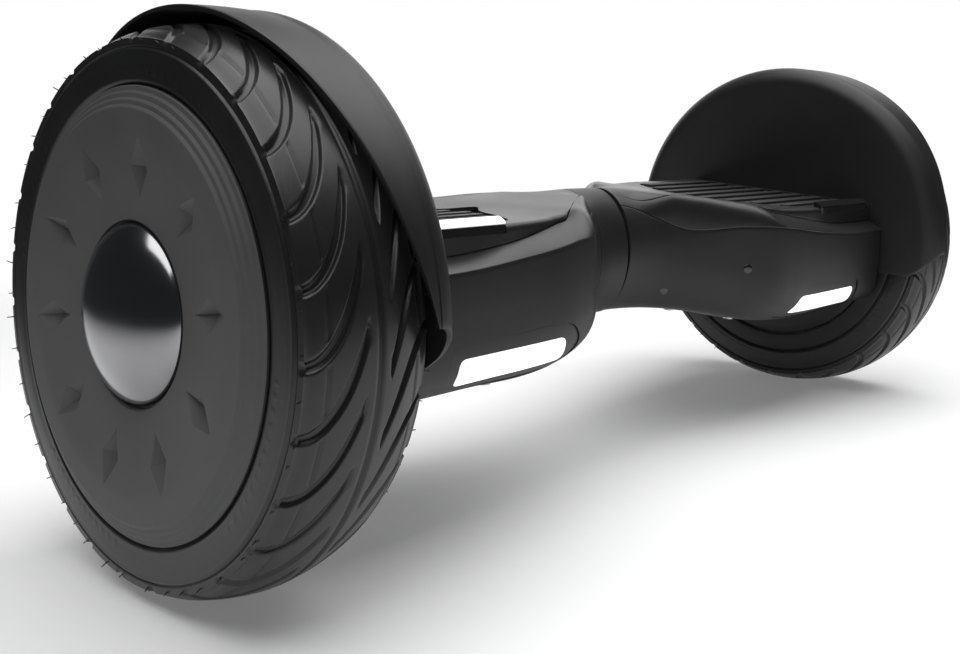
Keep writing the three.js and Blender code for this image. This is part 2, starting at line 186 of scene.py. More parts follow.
# ---------- materials ----------
def surface(name, dark, light, rough, rough_swing=0.06, grain=2600, grain_depth=0.00005, mottle=24,
            metallic=0.0, coat=0.0, specular=0.5, emission=0.0, brushed=None):
    """A procedural finish: fine grain in the relief, and slow drifts of colour and roughness."""
    material = bpy.data.materials.new(name)
    material.use_nodes = True
    nodes, links = material.node_tree.nodes, material.node_tree.links
    shader = nodes["Principled BSDF"]
    place = nodes.new("ShaderNodeTexCoord")
    stretch = nodes.new("ShaderNodeMapping")
    stretch.inputs["Scale"].default_value = brushed or (1, 1, 1)
    links.new(place.outputs["Object"], stretch.inputs["Vector"])

    drift = nodes.new("ShaderNodeTexNoise")
    drift.inputs["Scale"].default_value = mottle
    drift.inputs["Detail"].default_value = 5
    links.new(place.outputs["Object"], drift.inputs["Vector"])
    shade = nodes.new("ShaderNodeValToRGB")
    shade.color_ramp.elements[0].position = 0.3
    shade.color_ramp.elements[1].position = 0.7
    shade.color_ramp.elements[0].color = (*dark, 1)
    shade.color_ramp.elements[1].color = (*light, 1)
    links.new(drift.outputs["Fac"], shade.inputs["Fac"])
    links.new(shade.outputs["Color"], shader.inputs["Base Color"])

    fine = nodes.new("ShaderNodeTexNoise")
    fine.inputs["Scale"].default_value = grain
    fine.inputs["Detail"].default_value = 3
    links.new(stretch.outputs["Vector"], fine.inputs["Vector"])
    polish = nodes.new("ShaderNodeMapRange")
    polish.inputs["To Min"].default_value = rough - rough_swing
    polish.inputs["To Max"].default_value = rough + rough_swing
    links.new(drift.outputs["Fac"], polish.inputs["Value"])
    links.new(polish.outputs["Result"], shader.inputs["Roughness"])
    bump = nodes.new("ShaderNodeBump")
    bump.inputs["Distance"].default_value = grain_depth
    links.new(fine.outputs["Fac"], bump.inputs["Height"])
    links.new(bump.outputs["Normal"], shader.inputs["Normal"])

    shader.inputs["Metallic"].default_value = metallic
    shader.inputs["Coat Weight"].default_value = coat
    shader.inputs["Coat Roughness"].default_value = 0.12
    shader.inputs["Specular IOR Level"].default_value = specular
    if emission:
        shader.inputs["Emission Color"].default_value = (1, 1, 1, 1)
        shader.inputs["Emission Strength"].default_value = emission
    return material


def grey(value):
    return (value, value, value * 1.03)


M = {
    "satin_black": surface("satin_black", grey(0.013), grey(0.017), 0.42, grain_depth=0.00004,
                           specular=0.38),
    "gloss_black": surface("gloss_black", grey(0.008), grey(0.011), 0.16, 0.03, coat=0.5,
                           grain_depth=0.00001),
    "trim_grey": surface("trim_grey", grey(0.012), grey(0.016), 0.38, grain_depth=0.00003),
    "fender_black": surface("fender_black", grey(0.009), grey(0.012), 0.46, 0.04),
    "tyre_rubber": surface("tyre_rubber", grey(0.012), grey(0.018), 0.34, 0.05, grain=1500,
                           grain_depth=0.00005),
    "pad_rubber": surface("pad_rubber", grey(0.012), grey(0.018), 0.55, grain=1800, grain_depth=0.0001),
    "cover_grey": surface("cover_grey", grey(0.08), grey(0.095), 0.6, 0.05, grain=3200,
                          grain_depth=0.00004),
    "dark_chrome": surface("dark_chrome", grey(0.27), grey(0.33), 0.17, 0.04, metallic=1,
                           grain_depth=0.000006),
    "lamp_white": surface("lamp_white", grey(0.93), grey(0.96), 0.3, grain_depth=0.00001, emission=0.75),
    "lamp_red": surface("lamp_red", (0.3, 0.006, 0.006), (0.42, 0.012, 0.012), 0.15, coat=0.6),
    "cast_aluminium": surface("cast_aluminium", grey(0.42), grey(0.52), 0.5, grain=700,
                              grain_depth=0.0002, metallic=1),
    "steel": surface("steel", grey(0.36), grey(0.44), 0.32, grain=500, metallic=1, brushed=(1, 30, 30)),
    "winding_copper": surface("winding_copper", (0.45, 0.18, 0.08), (0.6, 0.28, 0.12), 0.35, metallic=1,
                              grain=400, grain_depth=0.0003, brushed=(1, 8, 8)),
    "bronze": surface("bronze", (0.42, 0.27, 0.1), (0.52, 0.35, 0.14), 0.45, metallic=1, grain=1200),
    "circuit_board": surface("circuit_board", (0.012, 0.07, 0.03), (0.02, 0.11, 0.045), 0.3, grain=300),
    "battery_wrap": surface("battery_wrap", (0.02, 0.04, 0.15), (0.03, 0.06, 0.2), 0.35, grain=200,
                            grain_depth=0.0003),
}


# ---------- mesh building ----------
def quads(rows, cols, offset=0, wrap=False):
    """Faces of a grid of points laid out row by row; wrap joins the last column to the first."""
    r = np.arange(rows - 1)[:, None]
    c = np.arange(cols if wrap else cols - 1)[None, :]
    after = (c + 1) % cols
    corners = (r * cols + c, r * cols + after, (r + 1) * cols + after, (r + 1) * cols + c)
    return np.stack([corner.ravel() + offset for corner in corners], 1)


def normals_of(grid):
    """Unit normals of a grid of points."""
    along = np.gradient(grid, axis=0)
    across = np.gradient(grid, axis=1)
    normal = np.cross(along, across)
    length = np.linalg.norm(normal, axis=2, keepdims=True)
    return normal / np.maximum(length, 1e-9)


def with_rim(grid, reach):
    """Adds two rows close to each end of the grid, so that a rim can be rounded there."""
    def near(end, inner, distance):
        step = inner - end
        length = np.linalg.norm(step, axis=1, keepdims=True)
        return end + step * np.minimum(distance / np.maximum(length, 1e-9), 0.5)
    first = [grid[0], near(grid[0], grid[1], 0.3 * reach), near(grid[0], grid[1], reach)]
    last = [near(grid[-1], grid[-2], reach), near(grid[-1], grid[-2], 0.3 * reach), grid[-1]]
    return np.concatenate([np.stack(first), grid[1:-1], np.stack(last)])


def closed_sheet(grid, thickness, edge=0.7, out=(0, 0, 0)):
    """A closed shell with rounded rims. grid holds its outer surface, and out is a point inside the shell."""
    grid = with_rim(grid, edge)
    grid = with_rim(grid.swapaxes(0, 1), edge).swapaxes(0, 1)
    rows, cols = grid.shape[:2]
    normal = normals_of(grid)
    middle = (rows // 2, cols // 2)
    if np.dot(normal[middle], grid[middle] - np.array(out)) < 0:
        normal = -normal
    steps = np.array([edge, 0.3 * edge, 0])
    drop = np.zeros((rows, cols))
    for k, step in enumerate(steps):
        for border in (np.s_[k, :], np.s_[rows - 1 - k, :], np.s_[:, k], np.s_[:, cols - 1 - k]):
            drop[border] = np.maximum(drop[border], step)
    top = grid - normal * drop[..., None]
    bottom = grid - normal * thickness
    points = np.concatenate([top.reshape(-1, 3), bottom.reshape(-1, 3)])
    count = rows * cols
    loop = [*range(cols)]
    loop += [r * cols + cols - 1 for r in range(1, rows)]
    loop += [(rows - 1) * cols + c for c in range(cols - 2, -1, -1)]
    loop += [r * cols for r in range(rows - 2, 0, -1)]
    loop = np.array(loop)
    after = np.roll(loop, -1)
    skirt = np.stack([loop, after, after + count, loop + count], 1)
    faces = np.concatenate([quads(rows, cols), quads(rows, cols, count)[:, ::-1], skirt])
    return points, faces


def loop_faces(rows, cols):
    """Faces of a grid that is closed both ways: each row is a loop, and the last row joins the first."""
    column = np.arange(cols)
    after = (column + 1) % cols
    last = (rows - 1) * cols
    closing = np.stack([last + column, last + after, after, column], 1)
    return np.concatenate([quads(rows, cols, wrap=True), closing])


def turned(outline, sides=180, relief=None):
    """A closed outline of (radius, x) points turned about the X axis.

    relief(radius, angle, x) says how far each point is moved inwards along X."""
    outline = np.array(outline, float)
    angle = np.arange(sides) * 2 * math.pi / sides
    radius = outline[:, 0][:, None] * np.ones(sides)
    x = outline[:, 1][:, None] * np.ones(sides)
    if relief is not None:
        x = x - relief(radius, angle[None, :], outline[:, 1][:, None])
    grid = np.stack([x, radius * np.cos(angle), radius * np.sin(angle)], 2)
    return grid.reshape(-1, 3), loop_faces(len(outline), sides)


def rounded(outline, radius, steps=4):
    """A closed outline with each corner rounded by up to radius."""
    points = [np.array(p, float) for p in outline]
    result = []
    for i, corner in enumerate(points):
        before, after = points[i - 1] - corner, points[(i + 1) % len(points)] - corner
        reach = min(radius, 0.45 * np.linalg.norm(before), 0.45 * np.linalg.norm(after))
        start = corner + before / np.linalg.norm(before) * reach
        end = corner + after / np.linalg.norm(after) * reach
        for t in np.linspace(0, 1, steps + 1):
            result.append((1 - t) ** 2 * start + 2 * t * (1 - t) * corner + t ** 2 * end)
    return result


def place_half(points, side):
    """Points of the +X design moved to their half: mirrored on the left, twisted on the right."""
    points = np.array(points, float)
    if side == "left":
        return points * (-1, 1, 1)
    y, z = points[:, 1].copy(), points[:, 2] - AXLE_Z
    points[:, 1] = y * math.cos(TWIST) - z * math.sin(TWIST)
    points[:, 2] = AXLE_Z + y * math.sin(TWIST) + z * math.cos(TWIST)
    return points


def place_wheel(points, side):
    return np.array(points, float) * (HANDS[side], 1, 1) + (HANDS[side] * TRACK, 0, AXLE_Z)


def new_mesh(name, points, faces):
    mesh = bpy.data.meshes.new(name)
    mesh.from_pydata((np.asarray(points) * MM).tolist(), [], [list(map(int, face)) for face in faces])
    bm = bmesh.new()
    bm.from_mesh(mesh)
    bmesh.ops.remove_doubles(bm, verts=bm.verts, dist=2e-6)
    bmesh.ops.dissolve_degenerate(bm, dist=1e-6, edges=bm.edges)
    bmesh.ops.recalc_face_normals(bm, faces=bm.faces)
    bm.to_mesh(mesh)
    bm.free()
    return mesh


def finish_mesh(piece, sharp):
    piece.data.shade_smooth()
    piece.data.set_sharp_from_angle(angle=math.radians(sharp))


def piece(name, shape, body, slot, replaces=(), material=None, sharp=38):
    """Makes a visible piece from (points, faces) in the row frame, in millimetres."""
    made = bpy.data.objects.new(name, new_mesh(name, *shape))
    bpy.context.scene.collection.objects.link(made)
    made.data.materials.append(M[material or slot])
    finish_mesh(made, sharp)
    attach(made, body)
    if replaces:
        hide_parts(*replaces)
    return made


def prism(outline, axis, low, high):
    """A closed outline of two coordinates, run along the named axis, as (points, faces)."""
    count = len(outline)
    place = {"x": lambda a, b, level: (level, a, b),
             "y": lambda a, b, level: (a, level, b),
             "z": lambda a, b, level: (a, b, level)}[axis]
    points = [place(a, b, level) for level in (low, high) for a, b in outline]
    faces = [[*range(count)][::-1], [*range(count, 2 * count)]]
    faces += [[i, (i + 1) % count, count + (i + 1) % count, count + i] for i in range(count)]
    return points, faces


def carve(target, shape, operation="DIFFERENCE", sharp=38):
    """Cuts target by, or keeps it inside, a closed shape given in the row frame."""
    tool = bpy.data.objects.new("carving_tool", new_mesh("carving_tool", *shape))
    bpy.context.scene.collection.objects.link(tool)
    modifier = target.modifiers.new("carve", "BOOLEAN")
    modifier.object = tool
    modifier.operation = operation
    modifier.solver = "EXACT"
    bpy.context.view_layer.update()
    depsgraph = bpy.context.evaluated_depsgraph_get()
    carved = bpy.data.meshes.new_from_object(target.evaluated_get(depsgraph))
    target.modifiers.clear()
    target.data = carved
    bpy.data.objects.remove(tool)
    finish_mesh(target, sharp)


def on_half(shape, side):
    """A closed shape of the +X design, moved to its half."""
    points, faces = shape
    return place_half(points, side), faces


def half_piece(name, shape, side, slot, *replaces, material=None):
    """A piece of one half, from a shape of the +X design."""
    return piece(f"{side}_{name}", on_half(shape, side), f"{side}_half", slot, replaces, material)


def wheel_piece(name, shape, side, slot, *replaces, material=None, sharp=38):
    """A piece of one wheel, from a shape whose x runs outwards from the tyre's middle."""
    points, faces = shape
    placed = (place_wheel(points, side), faces)
    return piece(f"{side}_{name}", placed, f"{side}_wheel", slot, replaces, material, sharp)


# ---------- cross-sections of the body ----------
def smooth_curve(points):
    """A smooth curve through (s, value) points, level at both ends."""
    at, value = np.array(points, float).T
    slope = np.zeros(len(at))
    slope[1:-1] = (value[2:] - value[:-2]) / (at[2:] - at[:-2])

    def evaluate(s):
        s = np.clip(s, at[0], at[-1])
        i = np.clip(np.searchsorted(at, s, side="right") - 1, 0, len(at) - 2)
        step = at[i + 1] - at[i]
        t = (s - at[i]) / step
        bend = slope[i] * step * (t ** 3 - 2 * t ** 2 + t) + slope[i + 1] * step * (t ** 3 - t ** 2)
        return value[i] + (value[i + 1] - value[i]) * (3 * t ** 2 - 2 * t ** 3) + bend
    return evaluate


half_depth = smooth_curve([(0, 28), (20, 30), (40, 37), (60, 51), (80, 67), (100, 84), (120, 89.5), (140, 91),
                           (200, 92), (255, 92)])
top_z = smooth_curve([(0, 171), (24, 171), (47, 169.4), (66, 167.8), (90, 165.6), (110, 163), (130, 161.6),
                      (255, 161.2)])
bottom_z = smooth_curve([(0, 89), (24, 89), (60, 87.5), (90, 83.5), (125, 77.2), (150, 76.8), (190, 80),
                         (255, 81)])
squareness = smooth_curve([(0, 2), (24, 2.1), (60, 2.6), (110, 3.2), (135, 3.5), (200, 4.8), (255, 5.2)])
seam_z = smooth_curve([(0, 163), (10, 162), (20, 160), (30, 155.8), (40, 151.3), (50, 147.4), (60, 147),
                       (70, 148.5), (80, 150.2), (100, 151.5), (120, 150.4), (130, 149), (150, 146.6),
                       (165, 145.3), (195, 143), (215, 142.2), (260, 142)])
deck_line_depth = smooth_curve([(0, 8), (12, 11), (24, 17), (34, 23), (43, 29), (53, 35), (62, 41),
                                (72, 47.5), (80, 52), (93, 61), (103, 67), (112, 71.7), (120, 72.5),
                                (130, 75), (150, 79), (165, 80.5), (200, 79), (255, 79.5)])
deck_line_z = smooth_curve([(0, 170.6), (24, 169.6), (43, 169.3), (62, 168.4), (80, 166.7), (93, 165.4),
                            (98, 164.5), (103, 162.7), (107, 160.7), (112, 159.4), (120, 158.3), (130, 156.8),
                            (150, 154), (165, 152), (200, 148.3), (255, 147.6)])


def smoothstep(low, high, x):
    t = np.clip((np.asarray(x, float) - low) / (high - low), 0, 1)
    return t * t * (3 - 2 * t)


def middle_z(s):
    return (top_z(s) + bottom_z(s)) / 2


def half_height(s):
    return (top_z(s) - bottom_z(s)) / 2


def depth_at(s, z):
    """How far in front of the middle the wall lies at height z: oval below, nearly upright over the feet."""
    share = np.clip((z - middle_z(s)) / half_height(s), -1, 1)
    oval = (1 - np.abs(share) ** squareness(s)) ** (1 / squareness(s))
    upright = smoothstep(25, 80, s) * (share > 0)
    return half_depth(s) * (oval * (1 - upright) + (1 - 0.03 * share ** 2) * upright)


def oval_z(s, depth):
    """The height of the plain oval section's upper side at a depth."""
    share = np.clip(depth / half_depth(s), 0, 1)
    return middle_z(s) + half_height(s) * (1 - share ** squareness(s)) ** (1 / squareness(s))


def spread(curve, count):
    """count points, evenly spaced along a polyline."""
    curve = np.array(curve, float)
    run = np.concatenate([[0], np.cumsum(np.linalg.norm(np.diff(curve, axis=0), axis=1))])
    wanted = np.linspace(0, run[-1], count)
    return np.stack([np.interp(wanted, run, curve[:, k]) for k in range(2)], 1)


def lower_half_section(s):
    """From the middle of the underside up to the seam, as (depth, z)."""
    angle = np.linspace(-math.pi / 2, 0, 600)
    power = 2 / squareness(s)
    depth = half_depth(s) * np.abs(np.cos(angle)) ** power
    z = middle_z(s) - half_height(s) * np.abs(np.sin(angle)) ** power
    upper = np.linspace(middle_z(s), seam_z(s), 60)[1:]
    return np.concatenate([np.stack([depth, z], 1), np.stack([depth_at(s, upper), upper], 1)])


def lid_share(s):
    """0 at the waist, where the top follows the oval, and 1 where the deck is a flat lid."""
    return smoothstep(22, 48, s)


def band_section(s):
    """From the seam up to the deck line, as (depth, z): an arc near the waist and a slope over the feet."""
    t = np.linspace(0, math.pi / 2, 160)
    power = 2 / (2.2 - 1.05 * smoothstep(85, 115, s))
    start = depth_at(s, seam_z(s))
    depth = deck_line_depth(s) + (start - deck_line_depth(s)) * np.abs(np.cos(t)) ** power
    raised = seam_z(s) + (deck_line_z(s) - seam_z(s)) * np.sin(t) ** power
    z = oval_z(s, depth) * (1 - lid_share(s)) + raised * lid_share(s)
    z += (seam_z(s) - z[0]) * (1 - t / t[-1])
    return np.stack([depth, z], 1)


def deck_section(s):
    """From the deck line to the middle of the top, as (depth, z): a flat lid with a rounded corner."""
    edge_depth, edge_z = band_section(s)[-1]
    lid_edge = deck_line_z(s)
    corner = min(3.0, 0.8 * (top_z(s) - lid_edge))
    turn = np.linspace(0, math.pi / 2, 12)
    rise = np.linspace(lid_edge, top_z(s) - corner, 12)[:-1]
    depth = np.concatenate([np.full(11, edge_depth), edge_depth - corner * (1 - np.cos(turn)),
                            np.linspace(edge_depth - corner, 0, 80)[1:]])
    lid = np.concatenate([rise, top_z(s) - corner * (1 - np.sin(turn)), np.full(79, top_z(s))])
    z = oval_z(s, depth) * (1 - lid_share(s)) + lid * lid_share(s)
    z[0] = edge_z
    return np.stack([depth, z], 1)


def both_sides(half, count):
    """A whole strip from the front over the middle to the back, from a half that starts at the middle."""
    half = spread(half, count)
    front = half[::-1] * (-1, 1)
    return np.concatenate([front, half[1:]])


STATIONS = np.linspace(6, BODY_END, 130)
SWEEP_ROWS = 110
MOUTHS = {"left": LEFT_MOUTH, "right": RIGHT_MOUTH}


def lofted(section, mouth):
    """Points of section(s) swept along the body from its mouth to its outer end."""
    table = np.stack([section(s) for s in STATIONS])
    s = mouth + (BODY_END - mouth) * np.linspace(0, 1, SWEEP_ROWS)
    grid = np.empty((SWEEP_ROWS, table.shape[1], 3))
    grid[..., 0] = s[:, None]
    for j in range(table.shape[1]):
        for k in range(2):
            grid[:, j, k + 1] = np.interp(s, STATIONS, table[:, j, k])
    return grid


SHELL_WALL = 2.6
FRONT_SPAN = (-110, -40)
REAR_SPAN = (40, 110)
BODY_MIDDLE = (150, 0, 122)


# ---------- body pieces ----------
def end_wall(grid):
    """Extra rows that round the outer end over and close it, for the lower shell."""
    middle = np.array([BODY_END, 0, 118])
    last = grid[-1]
    rows = []
    for reach, pull in ((-1.2, 0.994), (0, 0.975), (0, 0.8), (0, 0.4), (0, 0.08)):
        row = middle + (last - middle) * (1, pull, pull)
        row[:, 0] = BODY_END + reach
        rows.append(row)
    return np.concatenate([grid[:-1], np.stack(rows)])


def lower_shell(side):
    grid = end_wall(lofted(lambda s: both_sides(lower_half_section(s), 56), MOUTHS[side]))
    shape = closed_sheet(grid, SHELL_WALL, out=BODY_MIDDLE)
    shell = half_piece("lower_shell_skin", shape, side, "satin_black", f"{side}_lower_shell")
    carve(shell, on_half(prism(grown(BEZEL, 0.35), "y", *FRONT_SPAN), side))
    carve(shell, on_half(prism(grown(TAIL, 0.35), "y", *REAR_SPAN), side))


def band(side):
    for face, sign in (("front", -1), ("rear", 1)):
        grid = lofted(lambda s: spread(band_section(s), 22) * (sign, 1), MOUTHS[side])
        shape = closed_sheet(grid, SHELL_WALL, out=BODY_MIDDLE)
        made = half_piece(f"{face}_trim_band", shape, side, "trim_grey", f"{side}_trim_band")
        if face == "front":
            carve(made, on_half(strip_slot(), side))


def deck(side):
    grid = lofted(lambda s: both_sides(deck_section(s)[::-1], 60), MOUTHS[side])
    shape = closed_sheet(grid, SHELL_WALL, out=BODY_MIDDLE)
    made = half_piece("deck_skin", shape, side, "trim_grey", f"{side}_deck_cover")
    carve(made, on_half(prism(pad_outline(0.6), "z", 130, 190), side))
    carve(made, on_half(strip_slot(), side))


STRIP_DEPTH = 8.0


def strip_slot():
    low, high = strip_low, strip_high
    s0, s1 = -high[0] - 0.4, -low[0] + 0.4
    outline = rounded([(s0, low[1] - 0.4), (s1, low[1] - 0.4), (s1, high[1] + 0.4), (s0, high[1] + 0.4)], 3)
    return prism(outline, "z", high[2] - STRIP_DEPTH - 0.2, 180)


PAD_NOSE = [(0, 103.5), (12, 116), (20, 121), (38, 129), (60, 145), (66, 152)]


def pad_outline(grow):
    side = [(PAD_S1, PAD_HALF)] + [(s, y) for y, s in PAD_NOSE[:0:-1]]
    points = rounded(side + [(PAD_NOSE[0][1], 0)] + [(s, -y) for s, y in reversed(side)], 7, 6)
    outline = np.array(points)
    along = np.roll(outline, -1, 0) - np.roll(outline, 1, 0)
    outward = np.stack([along[:, 1], -along[:, 0]], 1)
    outward /= np.maximum(np.linalg.norm(outward, axis=1, keepdims=True), 1e-9)
    if np.dot(outward[0], outline[0] - outline.mean(0)) < 0:
        outward = -outward
    return outline + outward * grow


def grown(outline, by):
    """The outline moved outwards by a distance, from its middle."""
    outline = np.array(outline, float)
    middle = outline.mean(0)
    away = outline - middle
    return outline + away / np.linalg.norm(away, axis=1, keepdims=True) * by * 1.3


LENS = rounded([(211.5, 89.4), (210.6, 102.5), (132.7, 102.5), (127.6, 89.5)], 4, 6)
BEZEL = rounded([(218, 84.8), (217, 107.5), (150, 110), (127, 109), (116.5, 98), (121, 85)], 6, 6)
TAIL = rounded([(206, 92.6), (200, 101), (132, 101), (138, 92.6)], 2.5, 5)


def front_skin(lift, thickness, sign=-1):
    """A closed patch of the lower front or rear wall, lifted off it, from which lamps are cut."""
    s = np.linspace(98, 240, 120)[:, None]
    z = np.linspace(82.6, 112, 50)[None, :]
    depth = depth_at(s + 0 * z, z + 0 * s) + lift
    grid = np.stack([s + 0 * z, sign * depth, z + 0 * s], 2)
    return closed_sheet(grid, thickness, 0.2, out=(150, 0, 100))


def lamp(side, name, node, slot, outline, lift, sign, hole=None, material=None):
    """A patch of the front or rear wall, cut to an outline."""
    made = half_piece(name, front_skin(lift, 3.2, sign), side, slot, f"{side}_{node}", material=material)
    span = FRONT_SPAN if sign < 0 else REAR_SPAN
    carve(made, on_half(prism(outline, "y", *span), side), "INTERSECT")
    if hole is not None:
        carve(made, on_half(prism(hole, "y", *span), side))


def lamps(side):
    lamp(side, "headlight_frame", "headlight_bezel", "gloss_black", BEZEL, -0.9, -1, grown(LENS, 0.3),
         "fender_black")
    lamp(side, "headlight_window", "headlight_lens", "lamp_white", LENS, -0.7, -1)
    lamp(side, "tail_light_window", "tail_light_lens", "lamp_red", TAIL, 0.1, 1)


def light_strip(side):
    """A bar along the front edge of the deck: a dark holder with a slanted diffuser on top."""
    low, high = strip_low, strip_high
    s0, s1 = -high[0], -low[0]
    split = high[2] - 3.4
    plan = rounded([(s0, low[1]), (s1, low[1]), (s1, high[1]), (s0, high[1])], 3)
    half_piece("strip_holder", prism(plan, "z", high[2] - STRIP_DEPTH, split - 0.2), side, "gloss_black")
    slope = rounded([(low[1] + 0.3, split), (low[1] + 0.5, split + 0.7), (high[1] - 3, high[2]),
                     (high[1] - 0.3, high[2]), (high[1] - 0.3, split)], 0.8, 3)
    slot = "lamp_white" if side == "left" else "gloss_black"
    bar = half_piece("strip_diffuser", prism(slope, "x", s0 + 0.3, s1 - 0.3), side, slot,
                     f"{side}_pad_light_strip")
    carve(bar, on_half(prism(plan, "z", low[2], high[2] + 2), side), "INTERSECT")


# How far below the axle the fender reaches, in degrees, at each radius.
FENDER_LOWER_EDGE = ([30, 60, 104, 114, 121, 129, 135], [-28, -15, -10, -9.4, -6.4, -2.3, 0.9])


def fender(side):
    """A hood over the inner half of the wheel, whose lip leans outwards towards its top."""
    edge = 13.0
    face = [(radius, FENDER_FACE) for radius in np.linspace(30, FENDER_R - edge, 24)]
    bend = [(FENDER_R - edge + edge * math.sin(a), FENDER_FACE + edge - edge * math.cos(a))
            for a in np.linspace(0, math.pi / 2, 14)[1:]]
    profile = face + bend
    barrel_start = FENDER_FACE + edge
    barrel_rows = 16
    turn = np.linspace(0, 1, 150)
    rows = []

    def row(radius):
        low = np.radians(np.interp(radius, *FENDER_LOWER_EDGE))
        return math.pi - low + (low - (math.pi - low)) * turn
    for radius, x in profile:
        angle = row(radius)
        rows.append(np.stack([np.full_like(angle, x), radius * np.cos(angle),
                              AXLE_Z + radius * np.sin(angle)], 1))
    for k in range(1, barrel_rows + 1):
        share = k / barrel_rows
        angle = row(FENDER_R)
        z = AXLE_Z + FENDER_R * np.sin(angle)
        lip = 267 + 0.27 * (z - AXLE_Z)
        x = barrel_start + (lip - barrel_start) * share
        bulge = 0.6 * math.sin(share * math.pi)
        radius = FENDER_R - 0.6 + bulge
        rows.append(np.stack([x, radius * np.cos(angle), AXLE_Z + radius * np.sin(angle)], 1))
    shape = closed_sheet(np.stack(rows), 2.2, 0.8, out=(300, 0, AXLE_Z - 60))
    half_piece("fender_hood", shape, side, "satin_black", f"{side}_fender", material="fender_black")


RIB_ROWS = 8
RIB_HALF = 3.4
RIB_HEIGHT = 1.8


def foot_pad(side):
    """A plate with raised ribs along the board, which start along the plate's pointed nose."""
    plate = prism(pad_outline(0), "z", PAD_TOP - 7, PAD_TOP - RIB_HEIGHT)
    piece(f"{side}_ribbed_pad", on_half(plate, side), f"{side}_pad", "pad_rubber", [f"{side}_foot_pad"])
    for i in range(RIB_ROWS):
        y = -PAD_HALF + 7 + i * (2 * PAD_HALF - 14) / (RIB_ROWS - 1)
        start = np.interp(abs(y) + RIB_HALF, *np.array(PAD_NOSE).T) + 3
        near, far = y - RIB_HALF, y + RIB_HALF
        outline = rounded([(start, near), (PAD_S1 - 5, near), (PAD_S1 - 5, far), (start, far)], 3.4, 5)
        rib = rounded_bar(outline, PAD_TOP - RIB_HEIGHT - 0.1, PAD_TOP, 0.7)
        piece(f"{side}_pad_rib_{i + 1}", on_half(rib, side), f"{side}_pad", "pad_rubber")


def rounded_bar(outline, low, high, edge):
    """A flat bar with a rounded upper edge, from a closed plan outline."""
    outline = np.array(outline, float)
    middle = outline.mean(0)
    count = len(outline)
    levels = [(0, low), (0, high - edge), (0.3 * edge, high - 0.3 * edge), (edge, high)]
    points = []
    for inset, z in levels:
        ring = outline.copy()
        lengths = np.linalg.norm(ring - middle, axis=1, keepdims=True)
        tangent = np.roll(ring, -1, 0) - np.roll(ring, 1, 0)
        normal = np.stack([tangent[:, 1], -tangent[:, 0]], 1)
        normal /= np.maximum(np.linalg.norm(normal, axis=1, keepdims=True), 1e-9)
        ring = ring - normal * inset if lengths.min() > inset else ring
        points += [(x, y, z) for x, y in ring]
    faces = [[*range(count)][::-1], [*range(3 * count, 4 * count)]]
    for level in range(3):
        for i in range(count):
            a, b = level * count + i, level * count + (i + 1) % count
            faces.append([a, b, b + count, a + count])
    return points, faces


def waist():
    angle = np.linspace(0, 2 * math.pi, 121)

    def ring(x, s, inset):
        power = 2 / squareness(s)
        y = (half_depth(s) - inset) * np.sign(np.cos(angle)) * np.abs(np.cos(angle)) ** power
        z = middle_z(s) + (half_height(s) - inset) * np.sign(np.sin(angle)) * np.abs(np.sin(angle)) ** power
        return np.stack([np.full_like(angle, x), y, z], 1)

    sleeve = np.stack([ring(x, abs(x), 0) for x in np.linspace(0.2 - LEFT_MOUTH, COLLAR_END, 34)])
    piece("waist_collar_sleeve", closed_ring(sleeve, 3.0), "left_half", "satin_black", ["waist_collar"])
    seal_profile = ((5, 4.2), (6, 3.2), (7.2, 3.0), (8.4, 3.2), (9.2, 3.8))
    seal = np.stack([ring(x, 8.0, inset) for x, inset in seal_profile])
    piece("waist_seal", closed_ring(seal, 2.0), "left_half", "pad_rubber")


def closed_ring(grid, thickness, edge=0.6):
    """A closed sleeve: each row of the grid is a closed loop whose last point repeats its first."""
    grid = with_rim(grid, edge)[:, :-1]
    rows, cols = grid.shape[:2]
    centre = grid.mean(1, keepdims=True)
    away = grid - centre
    away[..., 0] = 0
    away /= np.linalg.norm(away, axis=2, keepdims=True)
    drop = np.zeros(rows)
    drop[[0, 1, -2, -1]] = (edge, 0.3 * edge, 0.3 * edge, edge)
    top = grid - away * drop[:, None, None]
    bottom = grid - away * thickness
    count = rows * cols
    points = np.concatenate([top.reshape(-1, 3), bottom.reshape(-1, 3)])
    ring = np.arange(cols)
    after = (ring + 1) % cols
    ends = [np.stack([ring, after, after + count, ring + count], 1)]
    last = (rows - 1) * cols
    ends.append(np.stack([ring + last, after + last, after + last + count, ring + last + count], 1))
    faces = np.concatenate([quads(rows, cols, wrap=True), quads(rows, cols, count, wrap=True)[:, ::-1],
                            *ends])
    return points, faces


# ---------- wheels ----------
TREAD_EDGE = 30.0
GROOVE_END = 6.0
GROOVE_SWEEP = math.radians(18.8)
PITCHES = 27
COLUMNS_PER_PITCH = 34
FIRST_GROOVE = math.pi - math.radians(1.9)
SIPE = 22.0
TYRE_INSIDE = [(97, -28.5), (93, -27.2), (93, -22), (118, -17), (118, 17), (93, 22), (93, 27.2), (97, 28.5)]
SIDE_RADII = [99.2, 100, 101, 102.2, 103.4, 104, 104.6, 105.8, 107, 108.2, 109.4, 110, 110.8, 111.8,
              112.8, 113.4, 114, 114.6, 115, 115.5, 116, 116.3]
TREAD_ACROSS = [30.3, 29.6, 28.5, 27, 25.5, 24, 22.8, 22.3, 21.8, 21.2, 20, 18.5, 17, 15.5, 14, 12.5, 11,
                9.5, 8, 6.7, 6, 5.4, 4.5, 3, 1.7, 1.2, 0.7, 0]


